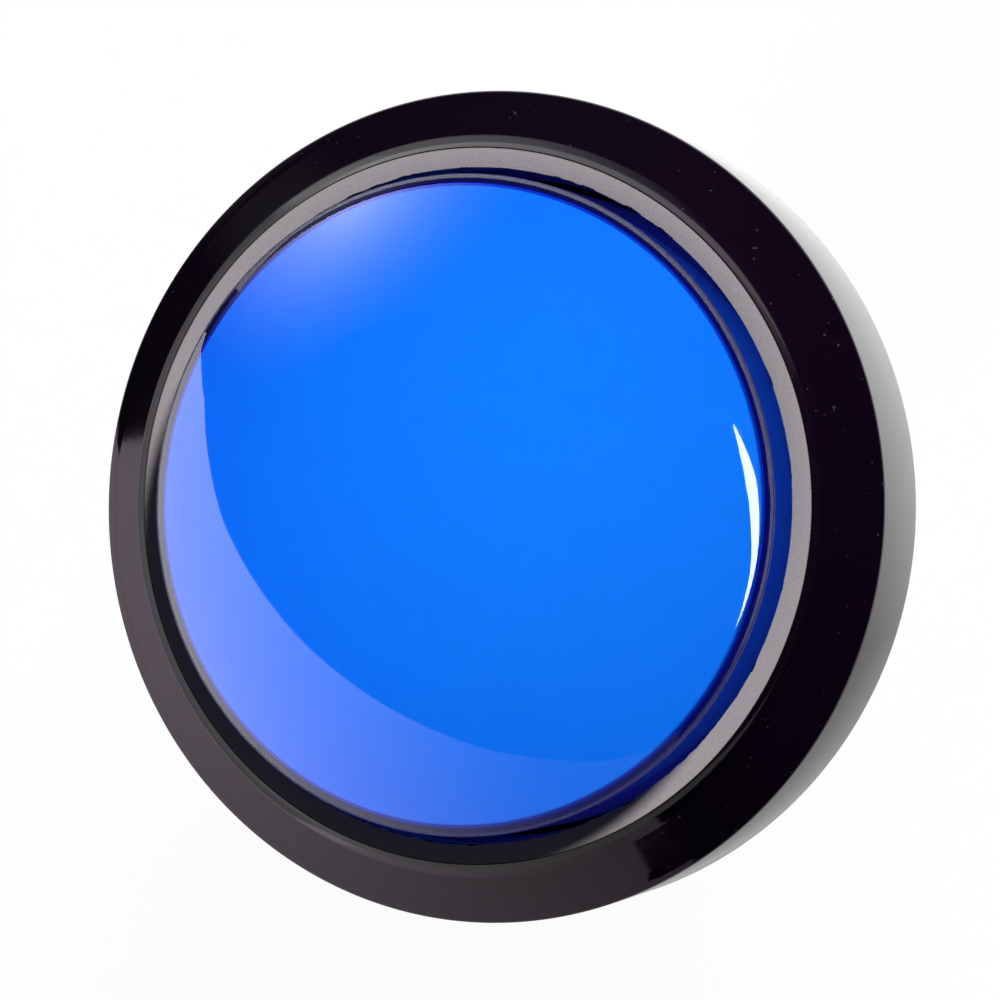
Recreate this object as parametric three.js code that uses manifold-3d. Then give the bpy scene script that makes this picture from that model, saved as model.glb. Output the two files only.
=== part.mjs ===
// A 100 mm dome push button for a quiz buzzer: a black flange with a threaded barrel that a
// nut clamps to a panel, a blue lens on a sprung plunger, a lamp holder that locks into the
// barrel, and a snap-action switch that one of the plunger's legs presses through a lever.
//
// Millimetres. +Z is the push axis, pointing out of the panel at the person who presses.
// z = 0 is the panel's face, and the origin is the centre of the panel's hole.

import * as THREE from 'three';
import { mergeVertices } from 'three/addons/utils/BufferGeometryUtils.js';
import Module from 'manifold-3d';

const wasm = await Module();
wasm.setup();

// ---- driving dimensions --------------------------------------------------------------

const GAP = 0.3;                 // left between pieces that touch
const TRAVEL = 4;                // how far the button goes in

const FLANGE = {
  radius: 50, rimHeight: 16, wall: 2.2, edge: 0.4,
  crestRadius: 42.55, crestHeight: 20.4,
  collarInner: 40.15, collarInnerHeight: 20.1,
  floorUnder: 1.2, floorTop: 3.4, ribs: 12, ribHalf: 0.8, ribBottom: 0.8,
};
const BARREL = {
  radius: 12, neckRadius: 11.4, end: -30, threadEnd: -26,
  springBore: 9.5, springSeat: -12, guideBore: 7.8, guideEnd: -24, endBore: 8.6,
};
const NUT = { top: -6, bottom: -13, flange: 1.6, flangeRadius: 17, flats: 29 };
// Two slots in the barrel's end take the lamp holder's lugs and lock them after a part turn.
const LOCK = {
  half: 1.9, far: 2.5, entryFar: 6.2, inner: 7, outer: 13, bottom: -28.9, top: -26.7,
  lugHalf: 1.6, lugInner: 6.9, lugOuter: 10.4, lugBottom: -28.6, lugTop: -27,
};
const GASKET = { inner: 14, outer: 24, thick: 0.9 };

const LENS = {
  radius: 39.1, bottomRadius: 39.4, corner: 1.5, edgeSlope: Math.PI / 6, edgeHeight: 24.75,
  wall: 2, bottom: 7.9, clips: 6, clipBottom: 8.1, clipReach: 1, clipHalfAngle: 4,
};
const DIFFUSER = { wall: 1.4, gap: 0.5 };
const PLUNGER = {
  discBottom: 9.5, discTop: 12, tubeInner: 6, tubeOuter: 7.4, tubeEnd: -15.5,
  legEnd: -34.2, barbTop: -24.4, barbEnd: -26, barbRadius: 8.3, legHalfAngle: 22,
  stopInner: 12, stopOuter: 14,
};
const SPRING = { meanRadius: 8.4, wire: 1, turns: 7 };

const HOLDER = {
  discRadius: 13.2, discTop: -30.3, discBottom: -33, bossRadius: 7.4, bossTop: -20,
  pocketBottom: -28, pocketHalf: 2.2, plateInner: 5.45, plate: 2, peg: 1.4, pegEnd: 0.7,
  contactSlotHalf: 1.8, contactSlotDepth: 1.1, windowHalf: 2.7, windowDepth: 3.6,
};
const LAMP = {
  contactY: 4.7, contactThick: 0.5, contactHalf: 1.5, contactTop: -21,
  tabHalf: 2.4, tabOut: 10.2, tabEnd: -44,
  baseHalf: 1.9, baseDepth: 3.6, baseTop: -18.5, collarBottom: -19.5, collarTop: -18,
  leadY: 3.9, leadThick: 0.4, leadHalf: 0.4, leadEnd: -26,
  ledBottom: -15.9, ledRadius: 4, ledRim: 4.6, ledRimThick: 1, ledStraight: 4.4,
};
const SWITCH = {
  left: -12.2, length: 27.8, halfDepth: 5.15, top: -40, height: 15.9, wall: 1.2, cover: 1.7,
  holeInset: 2.8, hole: 1.7, boss: 2.7,
};
const PIN = {
  x: -4.5, half: 1.7, depth: 1.4, bottom: -42, top: -38.7,
  footHalf: 2.5, footDepth: 2.2, footBottom: -42.5, footTop: -41.5,
};
// Two ears on top of the switch carry the lever's trunnions, one behind and one in front.
const EAR = {
  left: -12, right: -9.2, over: 1.2, hole: 0.8, trunnion: 0.5,
  back: 2.4, backFar: 3.6, front: -2.4, frontFar: -3.15,
};
// Each terminal is a strip along the back of the switch's chamber that ends in a thicker tab.
const TERMINAL = {
  end: -62.5, back: 3.2, thick: 0.6, tabWidth: 4.8, tabThick: 0.8,
  commonX: -6.2, openX: 1, closedX: 8.2, shelfLeft: -10, shelfY: -1.5, contact: 1.1,
  openTop: -47, closedBottom: -43, closedLeft: 6.2, neckRight: 9.8, neckBottom: -50,
};
const LEVER = { pivotX: -10.5, pivotZ: -39.2, slope: 14, reach: 20, thick: 0.5, halfWidth: 2 };
const BLADE = {
  pivotX: -6.5, z: -44.6, thick: 0.4, contactX: 8, tip: 9.4, tail: -9.8, half: 2,
  slitLeft: -4, slitRight: 5, slitInner: 0.9, slitOuter: 1.3,
};

const switchRight = SWITCH.left + SWITCH.length;
const switchBottom = SWITCH.top - SWITCH.height;
// The two mounting holes sit in opposite corners of the switch.
const SWITCH_HOLES = [
  { x: SWITCH.left + SWITCH.holeInset, z: switchBottom + SWITCH.holeInset },
  { x: switchRight - SWITCH.holeInset, z: SWITCH.top - SWITCH.holeInset },
];

// ---- colours and finishes ------------------------------------------------------------

const finish = (color, roughness, metalness = 0) =>
  new THREE.MeshStandardMaterial({ color, roughness, metalness });

const BLACK_GLOSS = finish(0x0c0a0e, 0.12);
const BLACK_SATIN = finish(0x17171a, 0.45);
const BLUE = finish(0x0a6ff0, 0.06);
const WHITE = finish(0xeceff2, 0.5);
const CREAM = finish(0xe6e1d2, 0.45);
const RUBBER = finish(0x1c1c1e, 0.85);
const STEEL = finish(0xb9bcc0, 0.3, 1);
const BRASS = finish(0xc9a24e, 0.35, 1);
const CLEAR = finish(0xdfe9f5, 0.08);
const RED = finish(0xb3261e, 0.35);

// ---- making solids -------------------------------------------------------------------

// Merges the shared vertices, drops collapsed triangles and turns every face outwards.
function closed(geometry) {
  geometry.deleteAttribute('normal');
  geometry.deleteAttribute('uv');
  const merged = mergeVertices(geometry, 1e-4);
  const index = merged.index.array;
  const kept = [];
  for (let i = 0; i < index.length; i += 3) {
    const [a, b, c] = [index[i], index[i + 1], index[i + 2]];
    if (a !== b && b !== c && c !== a) kept.push(a, b, c);
  }
  const p = merged.attributes.position;
  const corner = (i) => new THREE.Vector3().fromBufferAttribute(p, i);
  let volume = 0;
  for (let i = 0; i < kept.length; i += 3) {
    const across = corner(kept[i + 1]).cross(corner(kept[i + 2]));
    volume += corner(kept[i]).dot(across);
  }
  if (volume < 0) kept.reverse();
  merged.setIndex(kept);
  return merged;
}

function solid(geometry) {
  const shape = closed(geometry);
  return new wasm.Manifold(new wasm.Mesh({
    numProp: 3,
    vertProperties: new Float32Array(shape.attributes.position.array),
    triVerts: new Uint32Array(shape.index.array),
  }));
}

function geometryOf(manifold) {
  const mesh = manifold.getMesh();
  const geometry = new THREE.BufferGeometry();
  geometry.setAttribute('position', new THREE.BufferAttribute(mesh.vertProperties, 3));
  geometry.setIndex(new THREE.BufferAttribute(mesh.triVerts, 1));
  return geometry;
}

// Turns an outline of [radius, height] points round the push axis.
function turned(outline, segments) {
  const points = outline.map(([r, z]) => new THREE.Vector2(r, z));
  const onAxis = outline[0][0] === 0 && outline.at(-1)[0] === 0;
  if (!onAxis) points.push(points[0].clone());
  return new THREE.LatheGeometry(points, segments).rotateX(Math.PI / 2);
}

// Points on an arc in the [radius, height] plane, angles in degrees from the radius axis.
function arc(centreR, centreZ, radius, from, to, steps) {
  return Array.from({ length: steps + 1 }, (_, i) => {
    const a = THREE.MathUtils.degToRad(from + (to - from) * i / steps);
    return [centreR + radius * Math.cos(a), centreZ + radius * Math.sin(a)];
  });
}

function box(x0, x1, y0, y1, z0, z1) {
  return new THREE.BoxGeometry(x1 - x0, y1 - y0, z1 - z0)
    .translate((x0 + x1) / 2, (y0 + y1) / 2, (z0 + z1) / 2);
}

// A box across x = 0, from y0 to y1 away from the middle on one side: -1 in front, 1 behind.
function sidedBox(side, halfWidth, y0, y1, z0, z1) {
  return box(-halfWidth, halfWidth, Math.min(side * y0, side * y1),
    Math.max(side * y0, side * y1), z0, z1);
}

function rod(radius, z0, z1, segments = 24, x = 0) {
  return new THREE.CylinderGeometry(radius, radius, z1 - z0, segments)
    .rotateX(Math.PI / 2).translate(x, 0, (z0 + z1) / 2);
}

// A rod along Y, at x and z.
function crossRod(radius, y0, y1, x, z, segments = 20) {
  return new THREE.CylinderGeometry(radius, radius, y1 - y0, segments)
    .translate(x, (y0 + y1) / 2, z);
}

// A slice of a ring round the push axis, centred on the given angle in degrees.
function ringSlice(inner, outer, middle, halfAngle, z0, z1) {
  const from = THREE.MathUtils.degToRad(middle - halfAngle);
  const to = THREE.MathUtils.degToRad(middle + halfAngle);
  const shape = new THREE.Shape();
  shape.absarc(0, 0, outer, from, to, false);
  shape.absarc(0, 0, inner, to, from, true);
  shape.closePath();
  return new THREE.ExtrudeGeometry(shape, { depth: z1 - z0, bevelEnabled: false, curveSegments: 6 })
    .translate(0, 0, z0);
}

const join = (first, ...others) => others.reduce((sum, g) => sum.add(solid(g)), solid(first));
const cut = (manifold, ...tools) => tools.reduce((rest, g) => rest.subtract(solid(g)), manifold);

// ---- flange, barrel and what clamps it -----------------------------------------------

function makeBezel() {
  const f = FLANGE;
  const b = BARREL;
  const outline = [
    [b.endBore, b.end],
    [b.neckRadius, b.end],
    [b.neckRadius, b.threadEnd - 0.6],
    [b.radius, b.threadEnd],
    [b.radius, f.floorUnder],
    [f.collarInner, f.floorUnder],
    [f.collarInner, 0],
    [f.crestRadius - 0.2, 0],
    [f.crestRadius - 0.2, f.crestHeight - 3.5],
    [f.radius - f.wall, f.rimHeight - 1.8],
    [f.radius - f.wall, 0],
    [f.radius - f.edge, 0],
    [f.radius, f.edge],
    [f.radius, f.rimHeight - f.edge],
    [f.radius - f.edge, f.rimHeight + 0.05],
    [f.radius - 1.2, f.rimHeight + 0.55],
    [f.crestRadius + 1.75, f.crestHeight - 1.65],
    [f.crestRadius + 0.9, f.crestHeight - 1.05],
    [f.crestRadius + 0.3, f.crestHeight - 0.2],
    [f.crestRadius, f.crestHeight],
    [f.collarInner, f.collarInnerHeight],
    [f.collarInner - 0.15, f.collarInnerHeight - 0.5],
    [f.collarInner - 0.25, f.floorTop],
    [b.springBore, f.floorTop],
    [b.springBore, b.springSeat],
    [b.guideBore, b.springSeat],
    [b.guideBore, b.guideEnd],
    [b.endBore, b.guideEnd],
  ];
  let bezel = solid(turned(outline, 60));

  // Ribs stiffen the hollow under the flange.
  const ribInner = f.crestRadius - 0.5;
  const ribOuter = f.radius - f.wall + 0.3;
  for (let i = 0; i < f.ribs; i += 1) {
    const rib = box(ribInner, ribOuter, -f.ribHalf, f.ribHalf, f.ribBottom, f.rimHeight + 0.3)
      .rotateZ((i + 0.5) * 2 * Math.PI / f.ribs);
    bezel = bezel.add(solid(rib));
  }

  for (const side of [0, Math.PI]) {
    const lock = box(-LOCK.half, LOCK.far, LOCK.inner, LOCK.outer, LOCK.bottom, LOCK.top)
      .rotateZ(side);
    const entry = box(LOCK.half, LOCK.entryFar, LOCK.inner - 0.5, LOCK.outer, b.end - 1, LOCK.top)
      .rotateZ(side);
    bezel = cut(bezel, lock, entry);
  }
  return geometryOf(bezel);
}

function makeGasket() {
  return turned([
    [GASKET.inner, 0],
    [GASKET.outer, 0],
    [GASKET.outer, GASKET.thick],
    [GASKET.inner, GASKET.thick],
  ], 40);
}

function makeNut() {
  const bore = BARREL.radius + GAP;
  const hexagon = new THREE.CylinderGeometry(1, 1, 1, 6).rotateX(Math.PI / 2);
  const cornerRadius = NUT.flats / 2 / Math.cos(Math.PI / 6);
  hexagon.scale(cornerRadius, cornerRadius, NUT.top - NUT.bottom - 0.5);
  hexagon.translate(0, 0, (NUT.top - 0.5 + NUT.bottom) / 2);
  const flange = rod(NUT.flangeRadius, NUT.top - NUT.flange, NUT.top, 48);
  const hole = rod(bore, NUT.bottom - 1, NUT.top + 1, 48);
  return geometryOf(cut(join(flange, hexagon), hole));
}

// ---- the button: lens, diffuser and plunger ------------------------------------------

// The dome is part of a ball that meets the lens's rounded edge at the stated slope.
const edgeRadius = LENS.radius - LENS.corner * (1 - Math.sin(LENS.edgeSlope));
const ballRadius = edgeRadius / Math.sin(LENS.edgeSlope);
const ballCentre = LENS.edgeHeight - ballRadius * Math.cos(LENS.edgeSlope);

// Points on a ball about the dome's centre, from the axis out to the given radius.
function domeArc(radius, outTo, steps) {
  const end = Math.asin(outTo / radius);
  return Array.from({ length: steps + 1 }, (_, i) => {
    const a = end * i / steps;
    return [radius * Math.sin(a), ballCentre + radius * Math.cos(a)];
  });
}

function makeLens() {
  const inner = LENS.radius - LENS.wall;
  const slope = THREE.MathUtils.radToDeg(LENS.edgeSlope);
  const cornerZ = LENS.edgeHeight - LENS.corner * Math.cos(LENS.edgeSlope);
  const outline = [
    ...domeArc(ballRadius, edgeRadius, 5),
    ...arc(LENS.radius - LENS.corner, cornerZ, LENS.corner, 90 - slope, 0, 3).slice(1),
    [LENS.bottomRadius, LENS.bottom],
    [inner + 0.2, LENS.bottom],
    ...domeArc(ballRadius - LENS.wall, inner - 0.2, 5).reverse(),
  ];
  outline[0][0] = 0;
  outline.at(-1)[0] = 0;
  let lens = solid(turned(outline, 48));
  // Clips inside the skirt snap under the plunger's disc.
  for (let i = 0; i < LENS.clips; i += 1) {
    const clip = ringSlice(inner - LENS.clipReach, inner + 0.6, i * 360 / LENS.clips,
      LENS.clipHalfAngle, LENS.clipBottom, PLUNGER.discBottom - GAP);
    lens = lens.add(solid(clip));
  }
  return geometryOf(lens);
}

function makeDiffuser() {
  const outer = ballRadius - LENS.wall - DIFFUSER.gap;
  const skirt = LENS.radius - LENS.wall - DIFFUSER.gap;
  const bottom = PLUNGER.discTop + GAP;
  const outline = [
    ...domeArc(outer, skirt - 0.3, 4),
    [skirt, bottom],
    [skirt - DIFFUSER.wall, bottom],
    ...domeArc(outer - DIFFUSER.wall, skirt - DIFFUSER.wall - 0.3, 4).reverse(),
  ];
  outline[0][0] = 0;
  outline.at(-1)[0] = 0;
  return turned(outline, 48);
}

function makePlunger() {
  const p = PLUNGER;
  const discRadius = LENS.radius - LENS.wall - 0.7;
  // A ring under the disc meets the floor when the button is all the way in.
  const stopBottom = FLANGE.floorTop + TRAVEL + GAP;
  const outline = [
    [p.tubeInner, p.tubeEnd],
    [p.tubeOuter, p.tubeEnd],
    [p.tubeOuter, p.discBottom],
    [p.stopInner, p.discBottom],
    [p.stopInner, stopBottom],
    [p.stopOuter, stopBottom],
    [p.stopOuter, p.discBottom],
    [discRadius, p.discBottom],
    [discRadius, p.discTop],
    [p.tubeInner, p.discTop],
  ];
  let plunger = solid(turned(outline, 48));
  // Both legs snap under the barrel's guide. The one on +X goes on down to the switch.
  for (const [middle, end] of [[0, p.legEnd], [180, p.barbEnd]]) {
    const leg = ringSlice(p.tubeInner, p.tubeOuter, middle, p.legHalfAngle, end, p.tubeEnd + 1);
    const barb = ringSlice(p.tubeOuter - 0.4, p.barbRadius, middle, p.legHalfAngle,
      p.barbEnd, p.barbTop);
    plunger = plunger.add(solid(leg)).add(solid(barb));
  }
  return geometryOf(plunger);
}

class Helix extends THREE.Curve {
  constructor(radius, z0, z1, turns) {
    super();
    Object.assign(this, { radius, z0, z1, turns });
  }

  getPoint(t, target = new THREE.Vector3()) {
    const a = 2 * Math.PI * this.turns * t;
    const z = this.z0 + (this.z1 - this.z0) * t;
    return target.set(this.radius * Math.cos(a), this.radius * Math.sin(a), z);
  }
}

function makeSpring() {
  const wire = new THREE.Shape().absarc(0, 0, SPRING.wire / 2, 0, 2 * Math.PI);
  const half = SPRING.wire / 2 + GAP;
  const path = new Helix(SPRING.meanRadius, BARREL.springSeat + half, PLUNGER.discBottom - half,
    SPRING.turns);
  return new THREE.ExtrudeGeometry(wire, {
    steps: SPRING.turns * 12, extrudePath: path, curveSegments: 3,
  });
}

// ---- lamp holder and lamp ------------------------------------------------------------

function makeLampHolder() {
  const h = HOLDER;
  const disc = rod(h.discRadius, h.discBottom, h.discTop, 40);
  const boss = rod(h.bossRadius, h.discTop - 1, h.bossTop, 32);
  const plate = box(SWITCH.left + 0.3, switchRight - 0.3, h.plateInner, h.plateInner + h.plate,
    switchBottom + 0.3, h.discBottom + 0.5);
  const lugs = [0, Math.PI].map((side) => box(-LOCK.lugHalf, LOCK.lugHalf, LOCK.lugInner,
    LOCK.lugOuter, LOCK.lugBottom, LOCK.lugTop).rotateZ(side));
  const pegs = SWITCH_HOLES.map(({ x, z }) =>
    crossRod(h.peg, -SWITCH.halfDepth - h.pegEnd, h.plateInner + 0.5, x, z));

  const legSlots = [0, 180].map((middle) => ringSlice(PLUNGER.tubeInner - GAP,
    PLUNGER.barbRadius - 0.5, middle, PLUNGER.legHalfAngle + 5, h.discBottom - 1, h.bossTop + 1));
  const reach = LAMP.contactY + LAMP.contactThick + GAP;
  const pocket = box(-h.pocketHalf, h.pocketHalf, -reach, reach, h.pocketBottom, h.bossTop + 1);
  const contactSlots = [-1, 1].map((side) => sidedBox(side, h.contactSlotHalf,
    reach - h.contactSlotDepth, reach, h.discBottom - 1, h.pocketBottom + 1));
  const window = box(-h.windowHalf, h.windowHalf, h.plateInner - 1, h.plateInner + h.plate + 1,
    h.discBottom - h.windowDepth, h.discBottom);
  return geometryOf(cut(join(disc, boss, plate, ...lugs, ...pegs),
    ...legSlots, pocket, ...contactSlots, window));
}

// side is -1 or +1, the side of the switch that the contact's tab comes out on.
function makeLampContact(side) {
  const inner = LAMP.contactY;
  const outer = inner + LAMP.contactThick;
  const under = HOLDER.discBottom - GAP;
  const strip = sidedBox(side, LAMP.contactHalf, inner, outer, under - LAMP.contactThick,
    LAMP.contactTop);
  const bend = sidedBox(side, LAMP.contactHalf, inner, LAMP.tabOut, under - LAMP.contactThick,
    under);
  const tab = sidedBox(side, LAMP.tabHalf, LAMP.tabOut - LAMP.contactThick, LAMP.tabOut,
    LAMP.tabEnd, under);
  return geometryOf(join(strip, bend, tab));
}

function makeLampBase() {
  const wedge = box(-LAMP.baseHalf, LAMP.baseHalf, -LAMP.baseDepth, LAMP.baseDepth,
    HOLDER.pocketBottom + GAP, LAMP.baseTop);
  const collar = rod(LAMP.baseDepth, LAMP.collarBottom, LAMP.collarTop, 24);
  return geometryOf(join(wedge, collar));
}

function makeLedLead(side) {
  return sidedBox(side, LAMP.leadHalf, LAMP.leadY, LAMP.leadY + LAMP.leadThick,
    LAMP.leadEnd, LAMP.ledBottom - GAP);
}

function makeLed() {
  const z = LAMP.ledBottom;
  return turned([
    [0, z],
    [LAMP.ledRim, z],
    [LAMP.ledRim, z + LAMP.ledRimThick],
    [LAMP.ledRadius, z + LAMP.ledRimThick],
    ...arc(0, z + LAMP.ledStraight, LAMP.ledRadius, 0, 90, 4).slice(0, -1),
    [0, z + LAMP.ledStraight + LAMP.ledRadius],
  ], 24);
}

// ---- switch --------------------------------------------------------------------------

function makeSwitchCase() {
  const s = SWITCH;
  const front = -s.halfDepth + s.cover + GAP;
  const shell = box(s.left, switchRight, front, s.halfDepth, switchBottom, s.top);
  const cavity = box(s.left + s.wall, switchRight - s.wall, front - 1, s.halfDepth - s.wall,
    switchBottom + s.wall, s.top - s.wall);
  const bosses = SWITCH_HOLES.map(({ x, z }) => crossRod(s.boss, front, s.halfDepth - 0.5, x, z));
  const holes = SWITCH_HOLES.map(({ x, z }) => crossRod(s.hole, front - 1, s.halfDepth + 1, x, z));
  const pinHole = box(PIN.x - PIN.half - GAP, PIN.x + PIN.half + GAP, -PIN.depth - GAP,
    PIN.depth + GAP, s.top - s.wall - 1, s.top + 1);
  const slots = [TERMINAL.commonX, TERMINAL.openX, TERMINAL.closedX].map((x) =>
    box(x - GAP, x + TERMINAL.tabWidth + GAP, TERMINAL.back - TERMINAL.thick - GAP,
      TERMINAL.back + GAP, switchBottom - 1, switchBottom + s.wall + 0.5));
  const earAt = (y0, y1) =>
    box(EAR.left, EAR.right, y0, y1, s.top - 0.5, LEVER.pivotZ + EAR.over);
  const ears = [earAt(EAR.back, EAR.backFar), earAt(EAR.frontFar, EAR.front)];
  const earHoles = crossRod(EAR.hole, -s.halfDepth, s.halfDepth, LEVER.pivotX, LEVER.pivotZ, 16);
  const body = cut(solid(shell), cavity);
  const withBosses = [...bosses, ...ears].reduce((sum, g) => sum.add(solid(g)), body);
  return geometryOf(cut(withBosses, ...holes, pinHole, ...slots, earHoles));
}

function makeSwitchCover() {
  const s = SWITCH;
  const plate = box(s.left, switchRight, -s.halfDepth, -s.halfDepth + s.cover, switchBottom, s.top);
  const holes = SWITCH_HOLES.map(({ x, z }) => crossRod(s.hole, -s.halfDepth - 1, 0, x, z));
  return geometryOf(cut(solid(plate), ...holes));
}

const terminalFront = TERMINAL.back - TERMINAL.thick;

// The strip that leaves the chamber at x, from the given height, with its tab outside.
function terminalStrip(x, top) {
  const spare = (TERMINAL.tabThick - TERMINAL.thick) / 2;
  const strip = box(x, x + TERMINAL.tabWidth, terminalFront, TERMINAL.back, TERMINAL.end, top);
  const tab = box(x, x + TERMINAL.tabWidth, terminalFront - spare, TERMINAL.back + spare,
    TERMINAL.end, switchBottom - GAP);
  return [strip, tab];
}

function makeCommonTerminal() {
  const x = TERMINAL.commonX;
  const top = BLADE.z - BLADE.thick / 2 - GAP;
  const shelf = box(TERMINAL.shelfLeft, BLADE.pivotX, -BLADE.half, TERMINAL.back,
    top - TERMINAL.thick, top);
  const bar = box(TERMINAL.shelfLeft, x + TERMINAL.tabWidth, terminalFront, TERMINAL.back,
    top - 3.6, top);
  return geometryOf(join(shelf, bar, ...terminalStrip(x, top)));
}

function makeOpenTerminal() {
  const x = TERMINAL.openX;
  const top = TERMINAL.openTop;
  const under = top - TERMINAL.thick;
  const shelf = box(x + 3, BLADE.tip, TERMINAL.shelfY, 2.2, under, top);
  const link = box(x + 3, x + TERMINAL.tabWidth, TERMINAL.shelfY, TERMINAL.back, under, top);
  const contact = rod(TERMINAL.contact, top - 0.1, top + 0.6, 16, BLADE.contactX);
  return geometryOf(join(shelf, link, contact, ...terminalStrip(x, top)));
}

function makeClosedTerminal() {
  const left = TERMINAL.closedLeft;
  const under = TERMINAL.closedBottom;
  const top = under + TERMINAL.thick;
  const shelf = box(left, BLADE.tip, TERMINAL.shelfY, TERMINAL.back, under, top);
  const neck = box(left, TERMINAL.neckRight, terminalFront, TERMINAL.back, TERMINAL.neckBottom,
    top);
  const contact = rod(TERMINAL.contact, under - 0.6, under + 0.1, 16, BLADE.contactX);
  return geometryOf(join(shelf, neck, contact,
    ...terminalStrip(TERMINAL.closedX, TERMINAL.neckBottom + 1)));
}

function makeSwitchPin() {
  const stem = box(PIN.x - PIN.half, PIN.x + PIN.half, -PIN.depth, PIN.depth, PIN.bottom, PIN.top);
  const foot = box(PIN.x - PIN.footHalf, PIN.x + PIN.footHalf, -PIN.footDepth, PIN.footDepth,
    PIN.footBottom, PIN.footTop);
  return geometryOf(join(stem, foot));
}

function makeSwitchLever() {
  const l = LEVER;
  const strip = box(-0.4, l.reach / Math.cos(THREE.MathUtils.degToRad(l.slope)),
    -l.halfWidth, l.halfWidth, -l.thick / 2, l.thick / 2)
    .rotateY(THREE.MathUtils.degToRad(-l.slope)).translate(l.pivotX, 0, l.pivotZ);
  const trunnions = crossRod(EAR.trunnion, EAR.frontFar + 0.05, EAR.backFar - GAP, l.pivotX,
    l.pivotZ, 12);
  return geometryOf(join(strip, trunnions));
}

function makeSwitchBlade() {
  const b = BLADE;
  const leaf = box(b.tail, b.tip, -b.half, b.half, b.z - b.thick / 2, b.z + b.thick / 2);
  const contact = rod(TERMINAL.contact, b.z - 0.7, b.z + 0.7, 16, b.contactX);
  const slits = [-1, 1].map((side) => box(b.slitLeft, b.slitRight,
    Math.min(side * b.slitInner, side * b.slitOuter),
    Math.max(side * b.slitInner, side * b.slitOuter), b.z - 1, b.z + 1));
  return geometryOf(cut(join(leaf, contact), ...slits));
}

// ---- the assembly --------------------------------------------------------------------

const button = new THREE.Group();

function place(name, geometry, material) {
  const mesh = new THREE.Mesh(geometry.index ? geometry : closed(geometry), material);
  mesh.name = name;
  button.add(mesh);
}

const PIECES = [
  ['bezel', makeBezel(), BLACK_GLOSS],
  ['panel_gasket', closed(makeGasket()), RUBBER],
  ['panel_nut', makeNut(), BLACK_SATIN],
  ['lens', makeLens(), BLUE],
  ['diffuser', closed(makeDiffuser()), WHITE],
  ['plunger', makePlunger(), WHITE],
  ['return_spring', closed(makeSpring()), STEEL],
  ['lamp_holder', makeLampHolder(), CREAM],
  ['lamp_contact_front', makeLampContact(-1), BRASS],
  ['lamp_contact_back', makeLampContact(1), BRASS],
  ['lamp_base', makeLampBase(), WHITE],
  ['led_lead_front', closed(makeLedLead(-1)), STEEL],
  ['led_lead_back', closed(makeLedLead(1)), STEEL],
  ['led', closed(makeLed()), CLEAR],
  ['switch_case', makeSwitchCase(), BLACK_SATIN],
  ['switch_cover', makeSwitchCover(), BLACK_SATIN],
  ['switch_lever', makeSwitchLever(), STEEL],
  ['switch_pin', makeSwitchPin(), RED],
  ['switch_blade', makeSwitchBlade(), BRASS],
  ['common_terminal', makeCommonTerminal(), BRASS],
  ['open_terminal', makeOpenTerminal(), BRASS],
  ['closed_terminal', makeClosedTerminal(), BRASS],
];

for (const [name, geometry, material] of PIECES) {
  place(name, geometry, material);
}

export default button;
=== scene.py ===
"""A dome push button for a quiz buzzer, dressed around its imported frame.

Sizes are in millimetres and places in the row frame: z = 0 is the panel's face, and +Z is the
push axis, out of the panel. Meshes are scaled to metres as they are made.
"""

import math

import bmesh
import bpy
from mathutils import Matrix, Vector


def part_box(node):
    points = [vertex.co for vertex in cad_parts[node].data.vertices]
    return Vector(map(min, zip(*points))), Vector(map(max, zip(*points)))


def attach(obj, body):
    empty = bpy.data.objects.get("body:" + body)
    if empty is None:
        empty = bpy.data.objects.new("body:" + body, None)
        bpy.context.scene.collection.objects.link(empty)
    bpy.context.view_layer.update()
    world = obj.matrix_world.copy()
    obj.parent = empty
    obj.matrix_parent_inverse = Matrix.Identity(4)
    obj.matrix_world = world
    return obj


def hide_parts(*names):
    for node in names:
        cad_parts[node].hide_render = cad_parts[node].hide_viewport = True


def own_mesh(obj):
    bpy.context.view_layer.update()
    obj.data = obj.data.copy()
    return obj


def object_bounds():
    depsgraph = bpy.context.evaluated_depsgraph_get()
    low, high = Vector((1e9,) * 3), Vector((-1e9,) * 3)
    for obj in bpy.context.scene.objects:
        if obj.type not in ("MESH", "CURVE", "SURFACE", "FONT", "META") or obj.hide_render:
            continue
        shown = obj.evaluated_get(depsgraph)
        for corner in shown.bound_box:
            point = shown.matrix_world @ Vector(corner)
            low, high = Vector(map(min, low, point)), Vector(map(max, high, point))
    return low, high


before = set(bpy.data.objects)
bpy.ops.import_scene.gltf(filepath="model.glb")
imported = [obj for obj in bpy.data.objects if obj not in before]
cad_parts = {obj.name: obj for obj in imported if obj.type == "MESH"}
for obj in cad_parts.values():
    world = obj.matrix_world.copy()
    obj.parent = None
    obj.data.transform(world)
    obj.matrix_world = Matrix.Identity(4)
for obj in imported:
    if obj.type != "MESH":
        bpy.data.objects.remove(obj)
cad_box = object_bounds()
scene = bpy.context.scene
MM = 0.001
TURN = 2 * math.pi


# ---- sizes, read from the frame --------------------------------------------------------

def span(node):
    """A node's lowest and highest corners in millimetres."""
    low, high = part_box(node)
    return low / MM, high / MM


LENS_LOW, LENS_HIGH = span("lens")
BEZEL_LOW, BEZEL_HIGH = span("bezel")
NUT_LOW, NUT_HIGH = span("panel_nut")
GASKET_LOW, GASKET_HIGH = span("panel_gasket")
HOLDER_LOW, HOLDER_HIGH = span("lamp_holder")
SPRING_LOW, SPRING_HIGH = span("return_spring")
DIFFUSER_LOW, _ = span("diffuser")
LED_LOW, LED_HIGH = span("led")
SWITCH_LOW, SWITCH_HIGH = span("switch_cover")

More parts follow.
